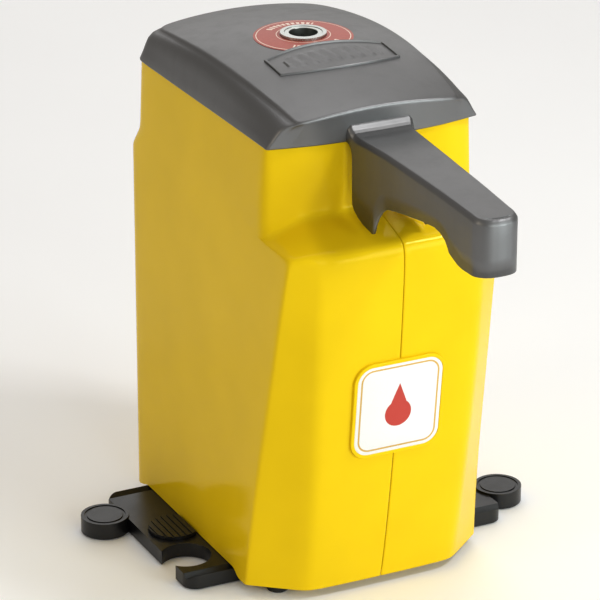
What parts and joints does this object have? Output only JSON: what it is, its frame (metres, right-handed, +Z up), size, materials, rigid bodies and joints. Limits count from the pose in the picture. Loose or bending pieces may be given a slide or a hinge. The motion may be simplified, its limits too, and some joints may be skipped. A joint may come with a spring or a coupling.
{
  "type": "condiment pump dispenser",
  "caption": "Countertop pump dispenser with a tapered body, hinged crowned lid, long spout shroud, sprung push cup and an interlocking base.",
  "frame": {"origin": "on the counter, below the pump axis, at the middle of the base plate", "axes": "+Z up, -Y towards the spout, +X to the right as seen from the front"},
  "size_m": [0.36, 0.464, 0.4245],
  "materials": {
    "body_yellow": "glossy injection-moulded, faint mould texture",
    "lid_grey": "satin moulded, fine grain",
    "black_plastic": "satin moulded",
    "rubber": "matt",
    "steel": "brushed",
    "bright_metal": "polished",
    "pump_plastic": "natural acetal",
    "label_white": "printed film, satin",
    "ring_red": "printed film, satin"
  },
  "bodies": {
    "root": {"body_left_shell": "body_yellow", "body_right_shell": "body_yellow", "shell_screws": "steel", "base_plate": "black_plastic", "base_feet": "rubber", "base_screws": "steel", "front_feet": "rubber", "pad_spring_left": "steel", "pad_spring_right": "steel", "hinge_pin": "steel", "pump_deck": "pump_plastic", "deck_screws": "steel", "pump_cylinder": "pump_plastic", "cylinder_cap": "lid_grey", "rod_seal": "rubber", "plunger_spring": "steel", "valve_block": "pump_plastic", "inlet_seat": "pump_plastic", "outlet_seat": "pump_plastic", "suction_spigot": "pump_plastic", "spigot_seal": "rubber", "discharge_tube": "steel", "tube_nut": "lid_grey", "nozzle_tip": "black_plastic", "nozzle_seal": "rubber", "tube_clip": "lid_grey", "pouch_tray": "pump_plastic", "label_frame": "body_yellow", "label_card": "label_white"},
    "lid": {"lid_cover": "lid_grey", "lid_crest": "lid_grey", "button_bezel": "bright_metal", "button_ring_label": "ring_red", "cup_guide": "pump_plastic"},
    "cup": {"push_cup": "bright_metal", "cup_retainer": "steel"},
    "plunger": {"plunger_rod": "steel", "piston": "pump_plastic", "piston_seal": "rubber"},
    "inlet_check": {"inlet_ball": "steel"},
    "outlet_check": {"outlet_ball": "steel"},
    "pad_left": {"release_pad_left": "black_plastic"},
    "pad_right": {"release_pad_right": "black_plastic"}
  },
  "joints": [
    {"name": "lid_hinge", "type": "hinge", "parent": "root", "child": "lid", "pos_m": [0, 0.1355, 0.38], "axis": [-1, 0, 0], "range_deg": [0, 100]},
    {"name": "cup_press", "type": "slide", "parent": "lid", "child": "cup", "axis": [0, 0, -1], "range_m": [0, 0.02]},
    {"name": "plunger_slide", "type": "slide", "parent": "root", "child": "plunger", "axis": [0, 0, -1], "range_m": [0, 0.02], "stiffness_N_per_m": 400, "springref_m": -0.02, "deforming": ["plunger_spring"]},
    {"name": "inlet_ball_lift", "type": "slide", "parent": "root", "child": "inlet_check", "axis": [0, 0, 1], "range_m": [0, 0.003]},
    {"name": "outlet_ball_lift", "type": "slide", "parent": "root", "child": "outlet_check", "axis": [0, 0, 1], "range_m": [0, 0.003]},
    {"name": "pad_left_press", "type": "slide", "parent": "root", "child": "pad_left", "axis": [0, 0, -1], "range_m": [0, 0.003], "stiffness_N_per_m": 700, "springref_m": -0.002, "deforming": ["pad_spring_left"]},
    {"name": "pad_right_press", "type": "slide", "parent": "root", "child": "pad_right", "axis": [0, 0, -1], "range_m": [0, 0.003], "stiffness_N_per_m": 700, "springref_m": -0.002, "deforming": ["pad_spring_right"]}
  ],
  "couplings": [
    {"joint": "plunger_slide", "follows": "cup_press", "ratio": 1}
  ]
}
